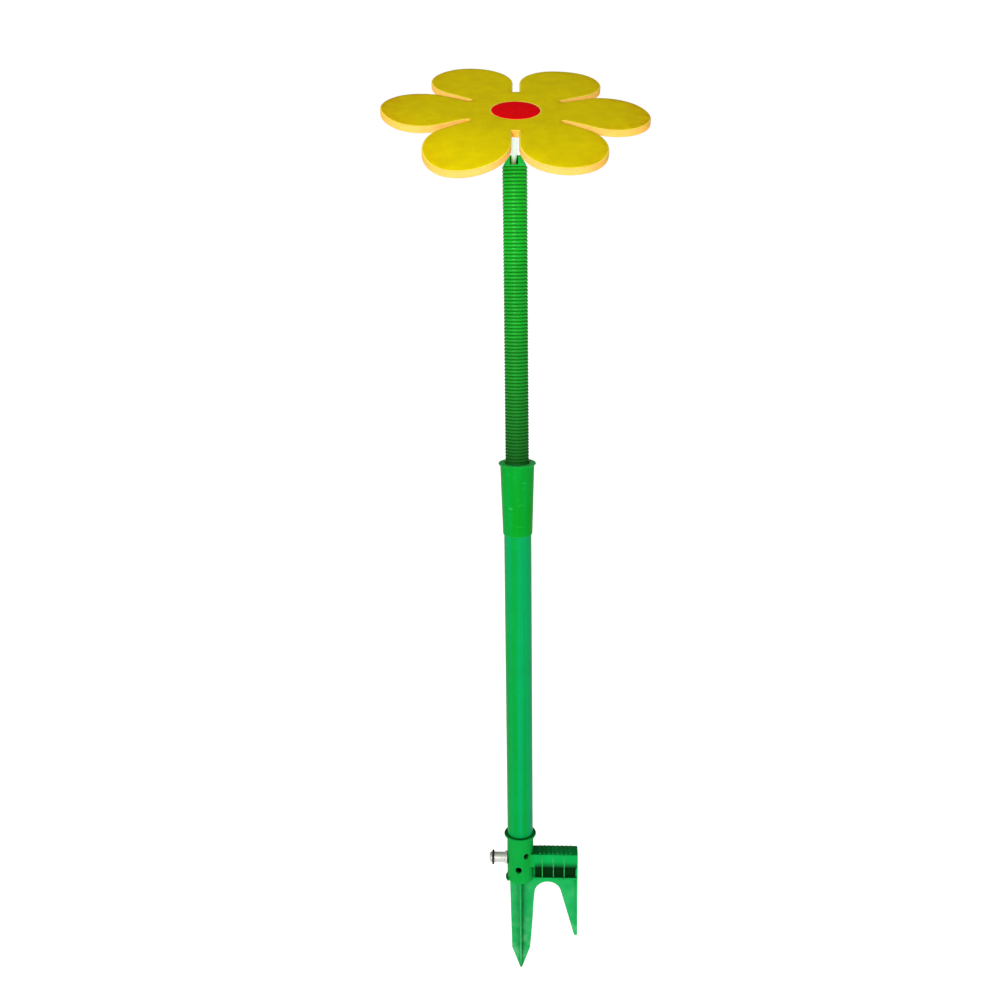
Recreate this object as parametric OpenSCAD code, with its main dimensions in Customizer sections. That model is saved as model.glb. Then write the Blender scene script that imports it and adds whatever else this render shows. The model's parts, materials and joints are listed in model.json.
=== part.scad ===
// Dancing-flower lawn sprinkler: a foam flower on a soft neck, a flexible corrugated hose,
// a straight tube and a two-pronged ground stake with a side hose inlet.
// The origin is on the stem's axis at the hub's underside, which is the soil line.
// +Z is up, +X points to the foot step and -Y is the front.

/* [Flower] */
// Width across the flower, from petal tip to petal tip
flower_w = 280; // [220:2:320]
// Number of petals
petal_count = 6; // [5:1:8]
// Thickness of the foam
foam_t = 7.5; // [7:0.5:12]
// Diameter of the round centre piece
centre_d = 51; // [40:1:60]
// Width of the slots between the petals
petal_gap = 7.5; // [4:0.5:12]
// Forward tilt of the flower from level, in degrees
flower_tilt = 22.5; // [0:0.5:24]
// Tilt of the flower to its right, in degrees
flower_side_tilt = 2.2; // [0:0.1:3]
// Turn of the flower on its spindle at rest, in degrees
flower_turn = 2; // [0:1:59]

/* [Neck and nozzle] */
// Distance from the neck's bend to the flower's top face
neck_len = 60; // [54:1:80]
// Outer diameter of the soft inner hose
inner_hose_d = 6; // [5.6:0.1:6.8]
// Bore of the soft inner hose
inner_hose_bore = 4; // [3.6:0.1:4.4]
// Height of the tapered plug on top of the corrugated hose
cone_h = 11.2; // [10:0.2:16]

/* [Corrugated hose] */
// Diameter over the ribs
hose_d = 27; // [26:0.1:27.6]
// Diameter at the bottom of the grooves
hose_root_d = 24.4; // [23.4:0.1:24.8]
// Distance from rib to rib
rib_pitch = 3.8; // [3.6:0.1:4.4]
// Number of bends that stand for the hose's curve
bend_count = 8; // [4:2:8]
// Ribs from one bend to the next
ribs_per_bend = 10; // [8:1:12]
// Ribs above the last bend
top_ribs = 12; // [8:1:14]

/* [Tube and collar] */
// Height from the spike's tip to the flower's top face
total_h = 1060; // [1000:5:1200]
// Outer diameter of the straight tube
tube_d = 31.8; // [31.4:0.1:32]
// Wall of the straight tube
tube_wall = 1.5; // [1.2:0.1:2]
// Length of the tapered collar
collar_len = 85; // [75:1:110]
// Diameter of the collar's rim
collar_rim_d = 43; // [41:0.5:48]
// Diameter of the collar just under its rim
collar_top_d = 39; // [37:0.5:40]
// Diameter of the collar's lower end
collar_low_d = 34.2; // [33.6:0.1:35]

/* [Ground stake] */
// Length of the main spike below the hub
spike_len = 134; // [110:2:180]
// Width of the main spike where it meets the hub
spike_w = 27; // [24:1:30]
// Thickness of the side blades and of the web
blade_t = 4; // [3:0.5:6]
// Thickness of the front and back blades
front_blade_t = 2; // [1.6:0.2:4]
// Outer diameter of the hub
hub_d = 33; // [32.5:0.5:34]
// Height of the hub
hub_h = 66; // [60:1:80]
// Diameter of the flange ring on top of the hub
flange_d = 40; // [38:1:46]
// Distance from the stem's axis to the second prong's outer edge
prong_reach = 72.5; // [68:0.5:80]
// Length of the second prong below the hub
prong_len = 84; // [70:1:110]
// Height of the foot step above the soil line
step_h = 40; // [36:1:46]
// Depth of the foot step from front to back
step_d = 22; // [16:1:26]

/* [Hose inlet] */
// Height of the inlet's axis
inlet_z = 29; // [27:0.5:32]
// Diameter of the nipple's plain stretch
nipple_d = 13; // [12:0.1:14]
// Outer diameter of the O-ring on the nipple
o_ring_d = 18; // [17:0.1:19]
// Bore of the nipple
nipple_bore = 7; // [5:0.5:8]

/* [Hidden] */
fine = 96;
medium = 48;

// Stations along the stem, from the flower down
flower_z = total_h - spike_len;
neck_z = flower_z - neck_len*cos(flower_tilt)*cos(flower_side_tilt);
hose_top_z = neck_z;
top_len = (top_ribs + 0.5)*rib_pitch;
bend_len = ribs_per_bend*rib_pitch;
last_bend_z = hose_top_z - top_len;
first_bend_z = last_bend_z - (bend_count - 1)*bend_len;
ribs_below = 19;
hose_low_z = first_bend_z - (ribs_below + 1)*rib_pitch;
collar_top_z = first_bend_z - 12;
collar_low_z = collar_top_z - collar_len;
clip_t = 1.4;
clip_h = 5;
clip_z = first_bend_z - 14.5*rib_pitch - clip_t/2;
tube_top_z = clip_z;

// Radii
hose_r = hose_d/2;
root_r = hose_root_d/2;
hose_bore_r = root_r - 1;
inner_r = inner_hose_d/2;
inner_bore_r = inner_hose_bore/2;
tube_r = tube_d/2;
tube_bore_r = tube_r - tube_wall;
hub_r = hub_d/2;
hub_bore_r = 12;
spigot_r = tube_bore_r - 0.05;

// Half of the free space left at each bend, so that the pieces clear each other
bend_gap = 1.5;
inner_gap = 0.9;
rib_half = 1.1;
rib_crest = 0.7;

// Heights along the neck, measured from its bend towards the flower
foam_low = neck_len - foam_t;
centre_t = 2.5;
nut_room_r = 10;
nut_room_low = neck_len - 5.5;
bush_bore_r = 5.06;
spindle_r = 5;
bush_flange_t = 1.5;
play = 0.3;
nozzle_top = foam_low - bush_flange_t - play;
nozzle_flange_t = 2;
nozzle_body_h = 9.2;
nozzle_low = nozzle_top - nozzle_flange_t - nozzle_body_h;
spindle_top = nut_room_low + play;
washer_t = 1;
barb_len = 8;

SEGMENTS = [0:bend_count];

// Points on an arc around [x, y], from angle a to angle b
function arc(x, y, r, a, b, n = 8) =
    [for (i = [0:n]) [x + r*cos(a + (b - a)*i/n), y + r*sin(a + (b - a)*i/n)]];

// Height of bend k, counted from 1 at the bottom
function bend_z(k) = first_bend_z + (k - 1)*bend_len;

// A plain ring between two radii and two heights
module ring(outer, inner, low, high) {
    translate([0, 0, low])
        difference() {
            cylinder(r = outer, h = high - low, $fn = fine);
            translate([0, 0, -1])
                cylinder(r = inner, h = high - low + 2, $fn = fine);
        }
}

// A solid of revolution from [radius, height] points
module turned(points) {
    rotate_extrude($fn = fine)
        polygon(points);
}

// A plate that stands in the XZ plane, from [x, z] points
module plate(points, thickness) {
    rotate([90, 0, 0])
        linear_extrude(thickness, center = true)
            polygon(points);
}

// A length along -X at the inlet's height, turned from [radius, distance from the axis] points
module inlet_turned(points) {
    translate([0, 0, inlet_z])
        rotate([0, -90, 0])
            turned(points);
}

// The tilted frame of the neck and the flower, with its origin at the neck's bend
module neck_frame() {
    translate([0, 0, neck_z])
        rotate([flower_tilt, flower_side_tilt, 0])
            children();
}

// ---- Ground stake ----

spike_low_w = 0.86*spike_w;
spike_taper_z = -0.77*spike_len;
flange_bead = 2;
ear_r = 18.8;
ear_t = 3;
spigot_len = 30;
hub_floor = 6;
drain_front = [4, 20, -7];
drain_side = [3.5, 39, 30];
spot_depth = 0.8;
step_corner_r = 2.5;
thread_r = 5;

// One blade of the cross-shaped spike
module spike_blade(thickness) {
    plate([
        [-spike_w/2, 1], [-spike_low_w/2, spike_taper_z], [-1.5, 1.4 - spike_len],
        [-0.6, -spike_len], [0.6, -spike_len], [1.5, 1.4 - spike_len],
        [spike_low_w/2, spike_taper_z], [spike_w/2, 1]
    ], thickness);
}

// The web beside the hub, the arch under it and the second prong
module prong_web() {
    arch_r = 17;
    arch_x = spike_w/2 + 4.2 + arch_r;
    arch_z = -5 - arch_r;
    // Where the arch runs over into the second prong's straight inner edge
    arch_start = 16;
    plate(concat(
        [[8, step_h - 4], [prong_reach, step_h - 4], [prong_reach, -prong_len + 1]],
        [[prong_reach - 1, -prong_len], [prong_reach - 3, -prong_len]],
        [[prong_reach - 4.4, -prong_len + 1.6]],
        arc(arch_x, arch_z, arch_r, arch_start, 180, 16),
        [[spike_w/2 + 3, arch_z - 14], [spike_w/2 + 1.6, -0.46*spike_len]],
        [[spike_low_w/2 + 1.4, -0.66*spike_len], [spike_low_w/2, spike_taper_z], [8, spike_taper_z]]
    ), blade_t);
}

// The flange along the second prong's outer edge, wide at the top
module prong_flange() {
    flange_t = 2.5;
    translate([prong_reach - flange_t, 0, 0])
        rotate([90, 0, 90])
            linear_extrude(flange_t)
                polygon([
                    [-step_d/2, step_h - 1.5], [-step_d/2 + 1.5, step_h], [step_d/2 - 1.5, step_h],
                    [step_d/2, step_h - 1.5], [step_d/2, 20], [5, 0], [blade_t/2, -0.8*prong_len],
                    [-blade_t/2, -0.8*prong_len], [-5, 0], [-step_d/2, 20]
                ]);
}

// The foot step: a channel with a top plate and two aprons, gussets under it and a lower ledge
module foot_step() {
    apron_low = 22;
    wall = 2;
    half = step_d/2;
    gusset_t = 1.2;
    gusset_out = 0.5;
    ledge_half = 5.5;
    start_x = 4;
    rotate([90, 0, 90])
        translate([0, 0, start_x])
            linear_extrude(prong_reach - start_x)
                polygon(concat(
                    [[-half, apron_low], [-half + wall, apron_low], [-half + wall, step_h - 3]],
                    [[half - wall, step_h - 3], [half - wall, apron_low], [half, apron_low]],
                    arc(half - 1.5, step_h - 1.5, 1.5, 0, 90, 4),
                    arc(-half + 1.5, step_h - 1.5, 1.5, 90, 180, 4)
                ));
    for (x = [27.8, 41.8, 55.4])
        translate([x - gusset_t/2, 0, 0])
            rotate([90, 0, 90])
                linear_extrude(gusset_t)
                    polygon([
                        [-half - gusset_out, step_h - 2], [-half - gusset_out, apron_low],
                        [-ledge_half - 1, 2], [ledge_half + 1, 2],
                        [half + gusset_out, apron_low], [half + gusset_out, step_h - 2]
                    ]);
    rotate([90, 0, 90])
        translate([0, 0, start_x])
            linear_extrude(prong_reach - start_x)
                polygon([[-blade_t/2, -2], [-ledge_half, 1], [-ledge_half, 3], [-blade_t/2, 6],
                    [blade_t/2, 6], [ledge_half, 3], [ledge_half, 1], [blade_t/2, -2]]);
    ridge_pitch = 5.5;
    ridge_first = 25;
    for (x = [ridge_first:ridge_pitch:prong_reach - 4])
        translate([x, 0, step_h - 0.2])
            rotate([90, 0, 0])
                linear_extrude(step_d - 3, center = true)
                    polygon([[-1.3, 0], [-0.6, 1.2], [0.6, 1.2], [1.3, 0]]);
}

// The hub with its flange ring and the spigot that the tube slips over
module hub_body() {
    turned(concat(
        [[0, 0], [hub_r - 1, 0], [hub_r, 1], [hub_r, hub_h - 2*flange_bead]],
        arc(flange_d/2 - flange_bead, hub_h - flange_bead, flange_bead, -90, 90, 8),
        [[spigot_r, hub_h], [spigot_r, hub_h + spigot_len - 1.5]],
        [[spigot_r - 1.5, hub_h + spigot_len], [0, hub_h + spigot_len]]
    ));
    rotate([0, 0, 105])
        rotate_extrude(angle = 105, $fn = fine)
            polygon(concat([[hub_bore_r + 1, 0]], arc(ear_r - 1, 1, 1, -90, 0, 4),
                arc(ear_r - 1, ear_t - 1, 1, 0, 90, 4), [[hub_bore_r + 1, ear_t]]));
}

// A round drain hole through the front of the hub wall, with a small countersink
module drain_hole(spec) {
    rotate([0, 0, spec[2]])
        translate([0, 0, spec[1]])
            rotate([90, 0, 0]) {
                cylinder(r = spec[0], h = hub_r + 2, $fn = medium);
                translate([0, 0, hub_r - 0.8])
                    cylinder(r1 = spec[0], r2 = spec[0] + 1.8, h = 1.8, $fn = medium);
            }
}

// What is cut off the step's outer top corner to round it
module step_corner() {
    translate([prong_reach - step_corner_r, 0, step_h - step_corner_r])
        rotate([90, 0, 0])
            linear_extrude(step_d + 2, center = true)
                difference() {
                    square(step_corner_r + 1);
                    circle(r = step_corner_r, $fn = medium);
                }
}

module ground_stake() {
    color("#22a653")
        difference() {
            union() {
                hub_body();
                spike_blade(blade_t);
                rotate([0, 0, 90])
                    spike_blade(front_blade_t);
                prong_web();
                prong_flange();
                foot_step();
            }
            translate([0, 0, hub_floor])
                cylinder(r = hub_bore_r, h = hub_h + spigot_len, $fn = fine);
            step_corner();
            drain_hole(drain_front);
            drain_hole(drain_side);
            inlet_turned([[0, 8], [thread_r, 8], [thread_r, hub_r + 2], [0, hub_r + 2]]);
            inlet_turned([[0, hub_r - spot_depth], [8.4, hub_r - spot_depth], [8.4, 24], [0, 24]]);
        }
}

// ---- Hose inlet ----

gasket_t = 1;
shoulder_t = 2.5;
shoulder_x = hub_r - spot_depth + gasket_t;
neck_x = shoulder_x + shoulder_t + 13.8;
groove_w = 2.6;
groove_r = nipple_d/2 - 0.7;
tip_len = 3.4;
stub_x = 4;

module inlet_nipple() {
    bore_r = nipple_bore/2;
    land_x = neck_x + groove_w;
    color("#b5b6af")
        inlet_turned([
            [bore_r, stub_x], [thread_r, stub_x], [thread_r, shoulder_x], [8, shoulder_x],
            [8, shoulder_x + shoulder_t - 0.5], [7.5, shoulder_x + shoulder_t],
            [nipple_d/2, shoulder_x + shoulder_t], [nipple_d/2, neck_x], [groove_r, neck_x],
            [groove_r, land_x], [nipple_d/2, land_x], [nipple_d/2, land_x + 1.6],
            [nipple_d/2 - 1.4, land_x + tip_len], [bore_r, land_x + tip_len]
        ]);
}

// The sealing ring: round corners beside a flat land, which a hose socket slides over
module inlet_o_ring() {
    corner_r = 0.8;
    outer = o_ring_d/2 - corner_r;
    color("#101010")
        inlet_turned(concat(
            [[groove_r, neck_x + groove_w], [groove_r, neck_x]],
            arc(outer, neck_x + corner_r, corner_r, -90, 0, 6),
            arc(outer, neck_x + groove_w - corner_r, corner_r, 0, 90, 6)
        ));
}

module inlet_gasket() {
    color("#202020")
        inlet_turned([[thread_r, shoulder_x - gasket_t], [8, shoulder_x - gasket_t],
            [8, shoulder_x], [thread_r, shoulder_x]]);
}

elbow_top = inlet_z + 16;
lower_barb_top = elbow_top + 15;

// The elbow inside the hub: a threaded leg towards the nipple and a barb that points up
module inlet_elbow() {
    leg_r = 7;
    way_r = 1.2;
    color("#e6e9e4")
        difference() {
            union() {
                inlet_turned([[0, -6], [5, -6], [6, -5], [leg_r, -4], [leg_r, 9.5], [0, 9.5]]);
                translate([0, 0, inlet_z])
                    turned([[0, 0], [6.5, 0], [6.5, elbow_top - inlet_z - 1.5],
                        [5, elbow_top - inlet_z], [inner_bore_r, elbow_top - inlet_z],
                        [inner_bore_r, lower_barb_top - inlet_z - 1],
                        [inner_bore_r - 0.4, lower_barb_top - inlet_z],
                        [0, lower_barb_top - inlet_z]]);
            }
            inlet_turned([[0, stub_x], [thread_r, stub_x], [thread_r, 10], [0, 10]]);
            inlet_turned([[0, -1], [nipple_bore/2, -1], [nipple_bore/2, 5], [0, 5]]);
            translate([0, 0, inlet_z])
                cylinder(r = way_r, h = 40, $fn = medium);
        }
}

module lower_hose_clamp() {
    color("#9aa0a3") {
        ring(inner_r + 0.8, inner_r, elbow_top + 4, elbow_top + 10);
        translate([inner_r + 0.6, -1.5, elbow_top + 5])
            cube([3.4, 1.2, 4]);
        translate([inner_r + 0.6, 0.3, elbow_top + 5])
            cube([3.4, 1.2, 4]);
    }
}

// ---- Tube and collar ----

module extension_tube() {
    color("#0ca059")
        ring(tube_r, tube_bore_r, hub_h, tube_top_z);
}

// The tapered collar: it slips over the tube and its rim guides the corrugated hose
module reducer_collar() {
    clip_top = clip_z + clip_h;
    rim_t = 1.8;
    rim_r = 0.8;
    color("#03ab2e")
        turned(concat(
            [[tube_r + 0.05, collar_low_z], [collar_low_d/2 - 0.3, collar_low_z]],
            [[collar_low_d/2, collar_low_z + 0.6]],
            [[collar_top_d/2, collar_top_z - rim_t - 1], [collar_top_d/2 + 1, collar_top_z - rim_t]],
            arc(collar_rim_d/2 - rim_r, collar_top_z - rim_t + rim_r, rim_r, -90, 0, 4),
            arc(collar_rim_d/2 - rim_r, collar_top_z - rim_r, rim_r, 0, 90, 4),
            [[hose_r + 0.9, collar_top_z], [hose_r + 0.3, collar_top_z - 0.8]],
            [[hose_r + 0.3, clip_top], [tube_r + 0.05, clip_top]]
        ));
}

// The split ring that grips a groove of the hose and rests on the tube's end
module hose_clip() {
    color("#d8d8d2")
        rotate([0, 0, 20])
            rotate_extrude(angle = 310, $fn = fine)
                polygon([
                    [root_r, clip_z], [tube_r, clip_z], [tube_r, clip_z + clip_h],
                    [hose_r + 0.1, clip_z + clip_h], [hose_r + 0.1, clip_z + clip_t],
                    [root_r, clip_z + clip_t]
                ]);
}

// The plug in the hose's lower end, which keeps the hose central in the tube
module lower_hose_plug() {
    color("#2b7f3c")
        turned([
            [inner_r + 0.1, hose_low_z - 5], [tube_bore_r - 0.6, hose_low_z - 5],
            [tube_bore_r, hose_low_z - 4.4], [tube_bore_r, hose_low_z], [hose_bore_r, hose_low_z],
            [hose_bore_r, hose_low_z + 12], [hose_bore_r - 1, hose_low_z + 13],
            [inner_r + 0.1, hose_low_z + 13]
        ]);
}

// ---- Hoses ----

// Lowest and highest point of a stretch of hose, left short of the bends by gap
function stretch_low(k, low, gap) = k == 0 ? low : bend_z(k) + gap;
function stretch_high(k, high, gap) = k == bend_count ? high : bend_z(k + 1) - gap;

// Stretch k of the corrugated hose: a thin wall with a row of ribs
module hose_segment(k) {
    low = stretch_low(k, hose_low_z, bend_gap);
    high = stretch_high(k, hose_top_z, bend_gap);
    first = k == 0 ? -ribs_below : 1;
    last = k == 0 ? -1 : (k == bend_count ? top_ribs : ribs_per_bend - 1);
    base = k == 0 ? first_bend_z : bend_z(k);
    color("#109a2a")
        turned(concat(
            [[hose_bore_r, high], [hose_bore_r, low], [root_r, low]],
            [for (i = [first:last])
                each [
                    [root_r, base + i*rib_pitch - rib_half],
                    [hose_r, base + i*rib_pitch - rib_crest],
                    [hose_r, base + i*rib_pitch + rib_crest],
                    [root_r, base + i*rib_pitch + rib_half]
                ]],
            [[root_r, high]]
        ));
}

// Stretch k of the soft inner hose that carries the water
module inner_hose(k) {
    neck_room = 1.8;
    low = stretch_low(k, elbow_top, inner_gap);
    high = stretch_high(k, neck_z - neck_room, inner_gap);
    color("#eef2ee")
        ring(inner_r, inner_bore_r, low, high);
}

// The tapered plug on top of the hose, slotted and pocketed at the front for the leaning neck.
// The slot is wider on the left, where the soft neck lies over.
module hose_end_plug() {
    way_r = 4.5;
    base_t = 1.6;
    wall = 1.7;
    play_right = 0.9;
    play_left = 2;
    slot_w = inner_hose_d + play_left + play_right;
    pocket_y = 8;
    pocket_z = 2.6;
    low_r = 12;
    high_r = 6.8;
    color("#1bb050")
        translate([0, 0, hose_top_z])
            difference() {
                union() {
                    turned([
                        [way_r, -14], [hose_bore_r - 1, -14], [hose_bore_r, -13], [hose_bore_r, 0],
                        [root_r, 0], [root_r, base_t], [way_r, base_t]
                    ]);
                    turned([
                        [low_r - wall, base_t - 0.01], [low_r, base_t - 0.01], [high_r, cone_h - 0.5],
                        [high_r - 0.5, cone_h], [high_r - wall, cone_h]
                    ]);
                    for (a = [20:35:160])
                        rotate([0, 0, a])
                            rotate([90, 0, 0])
                                linear_extrude(1.2, center = true)
                                    polygon([
                                        [low_r - 1, base_t], [low_r + 0.2, base_t],
                                        [high_r + 1.1, cone_h - 2.5], [high_r, cone_h - 2.5]
                                    ]);
                }
                translate([-inner_r - play_left, -20, base_t])
                    cube([slot_w, 20, cone_h]);
                translate([-inner_r - play_left, -pocket_y, -pocket_z])
                    cube([slot_w, pocket_y, cone_h]);
            }
}

// ---- Neck and nozzle, in the neck's own frame ----

module neck_tube() {
    color("#f2f6f2")
        neck_frame()
            ring(inner_r, inner_bore_r, 1.5, nozzle_low);
}

// The nozzle: a barb, a body with side jets, a flange under the flower and a spindle through it
module nozzle_body() {
    jet_r = 0.8;
    way_r = 1.1;
    screw_r = 1.5;
    jet_z = nozzle_low + 4.5;
    color("#e9ece8")
        neck_frame()
            difference() {
                turned([
                    [0, nozzle_low - barb_len], [inner_bore_r - 0.3, nozzle_low - barb_len],
                    [inner_bore_r, nozzle_low - barb_len + 1], [inner_bore_r, nozzle_low],
                    [6, nozzle_low], [7, nozzle_low + 1], [7, nozzle_top - nozzle_flange_t],
                    [11.5, nozzle_top - nozzle_flange_t], [12, nozzle_top - 1.5],
                    [12, nozzle_top], [spindle_r, nozzle_top], [spindle_r, spindle_top],
                    [0, spindle_top]
                ]);
                translate([0, 0, nozzle_low - barb_len - 1])
                    cylinder(r = way_r, h = barb_len + 6.5, $fn = medium);
                for (a = [30:120:270])
                    rotate([0, 0, a])
                        translate([0, 0, jet_z])
                            rotate([0, 90, 0])
                                cylinder(r = jet_r, h = 10, $fn = 32);
                translate([0, 0, spindle_top - 8])
                    cylinder(r = screw_r, h = 9, $fn = medium);
            }
}

module nozzle_clamp() {
    color("#9aa0a3")
        neck_frame()
            ring(inner_r + 0.7, inner_r, nozzle_low - 7, nozzle_low - 2);
}

module retaining_washer() {
    color("#b9bdc0")
        neck_frame()
            ring(8.5, 1.5, spindle_top, spindle_top + washer_t);
}

module retaining_screw() {
    head_low = spindle_top + washer_t;
    color("#aab0b4")
        neck_frame()
            difference() {
                turned([
                    [0, spindle_top - 8], [1.5, spindle_top - 8], [1.5, head_low], [3.6, head_low],
                    [3.6, head_low + 0.5], [2.6, head_low + 1.2], [0, head_low + 1.2]
                ]);
                for (a = [0, 90])
                    rotate([0, 0, a])
                        translate([-1.8, -0.4, head_low + 0.6])
                            cube([3.6, 0.8, 2]);
            }
}

// The flanged bush glued into the foam, which turns on the nozzle's spindle
module swivel_bush() {
    flange_low = foam_low - bush_flange_t;
    color("#dfe3de")
        neck_frame()
            turned([
                [bush_bore_r, flange_low], [14.4, flange_low], [15, flange_low + 0.6],
                [15, foam_low], [7, foam_low], [7, nut_room_low], [bush_bore_r, nut_room_low]
            ]);
}

// ---- Flower ----

// Half of the angle that one petal takes, and the petal's end circle, which just fits it
petal_half = 180/petal_count;
tip_r = (flower_w/2*sin(petal_half) - petal_gap/2)/(1 + sin(petal_half));
tip_x = flower_w/2 - tip_r;
hub_disc_r = 55;

// One petal lying along +X: a round end, and two straight sides beside the slots
module petal_outline() {
    side_x = tip_r*sin(petal_half);
    side_y = tip_r*cos(petal_half);
    root_x = petal_gap/2/sin(petal_half);
    translate([tip_x, 0])
        circle(r = tip_r, $fn = fine);
    polygon([[root_x, 0], [tip_x - side_x, -side_y], [tip_x, 0], [tip_x - side_x, side_y]]);
}

module flower_petals() {
    color("#c3b401")
        neck_frame()
            difference() {
                translate([0, 0, foam_low])
                    linear_extrude(foam_t)
                        union() {
                            circle(r = hub_disc_r, $fn = fine);
                            for (i = [0:petal_count - 1])
                                rotate(flower_turn + i*360/petal_count)
                                    petal_outline();
                        }
                translate([0, 0, foam_low - 1])
                    cylinder(r = 7, h = foam_t, $fn = fine);
                translate([0, 0, nut_room_low])
                    cylinder(r = nut_room_r, h = foam_t, $fn = fine);
                translate([0, 0, neck_len - centre_t])
                    cylinder(r = centre_d/2, h = foam_t, $fn = fine);
            }
}

module flower_centre() {
    color("#cd040c")
        neck_frame()
            translate([0, 0, neck_len - centre_t])
                cylinder(r = centre_d/2 - 0.1, h = centre_t + 0.3, $fn = fine);
}

ground_stake();
inlet_nipple();
inlet_o_ring();
inlet_gasket();
inlet_elbow();
lower_hose_clamp();
extension_tube();
reducer_collar();
hose_clip();
lower_hose_plug();
for (k = SEGMENTS) hose_segment(k);
for (k = SEGMENTS) inner_hose(k);
hose_end_plug();
neck_tube();
nozzle_body();
nozzle_clamp();
retaining_washer();
retaining_screw();
swivel_bush();
flower_petals();
flower_centre();
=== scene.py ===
"""The looks of the dancing-flower sprinkler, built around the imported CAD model. Sizes are in metres."""
import json
import math

import bmesh
import bpy
from mathutils import Matrix, Vector, geometry, noise


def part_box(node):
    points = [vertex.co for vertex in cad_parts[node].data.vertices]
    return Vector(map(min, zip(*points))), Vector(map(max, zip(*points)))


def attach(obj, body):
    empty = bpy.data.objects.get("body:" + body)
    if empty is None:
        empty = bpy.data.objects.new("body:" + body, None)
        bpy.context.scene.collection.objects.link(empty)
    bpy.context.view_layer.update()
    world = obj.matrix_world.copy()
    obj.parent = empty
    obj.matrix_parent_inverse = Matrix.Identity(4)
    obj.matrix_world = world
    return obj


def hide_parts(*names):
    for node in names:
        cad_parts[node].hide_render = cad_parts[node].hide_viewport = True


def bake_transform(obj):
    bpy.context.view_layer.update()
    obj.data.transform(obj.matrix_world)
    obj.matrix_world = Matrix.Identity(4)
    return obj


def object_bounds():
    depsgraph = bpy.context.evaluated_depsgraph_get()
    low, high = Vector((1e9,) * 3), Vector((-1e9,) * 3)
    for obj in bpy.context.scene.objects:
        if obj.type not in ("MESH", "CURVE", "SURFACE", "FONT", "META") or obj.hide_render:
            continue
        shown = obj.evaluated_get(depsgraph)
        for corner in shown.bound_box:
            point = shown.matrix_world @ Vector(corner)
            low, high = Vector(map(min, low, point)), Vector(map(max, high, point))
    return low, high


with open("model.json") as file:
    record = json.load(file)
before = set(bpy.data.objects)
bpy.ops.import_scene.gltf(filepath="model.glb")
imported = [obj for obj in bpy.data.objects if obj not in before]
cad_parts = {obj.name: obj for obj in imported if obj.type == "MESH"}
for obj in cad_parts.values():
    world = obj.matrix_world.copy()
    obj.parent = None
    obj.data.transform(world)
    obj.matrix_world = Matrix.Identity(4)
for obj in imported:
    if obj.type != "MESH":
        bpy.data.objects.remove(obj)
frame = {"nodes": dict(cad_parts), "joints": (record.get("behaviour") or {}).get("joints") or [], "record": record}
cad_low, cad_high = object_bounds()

MM = 0.001
TAU = 2 * math.pi
scene = bpy.context.scene
joints = {j["name"]: j for j in frame["joints"]}
nodes = frame["nodes"]
bodies = {node: body for body, names in frame["record"]["behaviour"]["bodies"].items() for node in names}


# ---- Places taken from the frame ----

HOSE_BENDS = sorted(
    (j for j in frame["joints"] if j["name"].startswith("hose_bend")),
    key=lambda j: j["pos_m"][2],
)
bend_heights = [j["pos_m"][2] for j in HOSE_BENDS]
bend_step = bend_heights[1] - bend_heights[0]
half_step = bend_step / 2
neck_point = Vector(joints["neck_nod"]["pos_m"])
neck_axis = Vector(joints["flower_spin"]["axis"]).normalized()
# The neck's frame: its origin at the neck's bend, and its third axis towards the flower
tilt_x = math.asin(-neck_axis.y)
tilt_y = math.atan2(neck_axis.x, neck_axis.z)
neck_frame = (
    Matrix.Translation(neck_point)
    @ Matrix.Rotation(tilt_y, 4, "Y")
    @ Matrix.Rotation(tilt_x, 4, "X")
)


def neck_span(node):
    """Largest radius, lowest and highest point of a CAD node in the neck's frame."""
    inverse = neck_frame.inverted()
    points = [inverse @ v.co for v in nodes[node].data.vertices]
    heights = [p.z for p in points]
    return max(p.xy.length for p in points), min(heights), max(heights)


petal_tip, foam_low, foam_high = neck_span("flower_petals")
centre_radius, centre_low, centre_high = neck_span("flower_centre")
nozzle_low = neck_span("neck_tube")[2]


# ---- Mesh helpers ----

def add_object(name, mesh, material, body=None):
    """An object of a mesh, with its material, riding on a body if one is named."""
    obj = bpy.data.objects.new(name, mesh)
    scene.collection.objects.link(obj)
    mesh.materials.append(material)
    if body:
        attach(obj, body)
    return obj


def shell_mesh(name, rings, sharp=(), closed=True):
    """A mesh from rings of points with the same count, each joined to the next. The last is joined to
    the first if closed, or else both get a cap. The rings whose numbers are in sharp get a crisp edge."""
    bm = bmesh.new()
    rows = [[bm.verts.new(p) for p in ring] for ring in rings]
    count = len(rings[0])
    last = len(rows) if closed else len(rows) - 1
    for i in range(last):
        a, b = rows[i], rows[(i + 1) % len(rows)]
        for j in range(count):
            k = (j + 1) % count
            face = bm.faces.new((a[j], a[k], b[k], b[j]))
            face.smooth = True
    if not closed:
        for row in (rows[0], rows[-1]):
            bm.faces.new(row).smooth = True
    for i in sharp:
        for j in range(count):
            edge = bm.edges.get((rows[i][j], rows[i][(j + 1) % count]))
            edge.smooth = False
    bmesh.ops.recalc_face_normals(bm, faces=bm.faces)
    mesh = bpy.data.meshes.new(name)
    bm.to_mesh(mesh)
    bm.free()
    return mesh


def ring_points(centre, u, v, radius, count):
    """A circle of points around centre in the plane of u and v."""
    return [
        centre + radius * (math.cos(TAU * i / count) * u + math.sin(TAU * i / count) * v)
        for i in range(count)
    ]


def turned_mesh(name, profile, count=72, sharp=(), closed=True):
    """A solid of revolution about Z, from (radius, height) points."""
    x, y = Vector((1, 0, 0)), Vector((0, 1, 0))
    rings = [ring_points(Vector((0, 0, z)), x, y, r, count) for r, z in profile]
    return shell_mesh(name, rings, sharp, closed)


# ---- Materials ----

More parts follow.
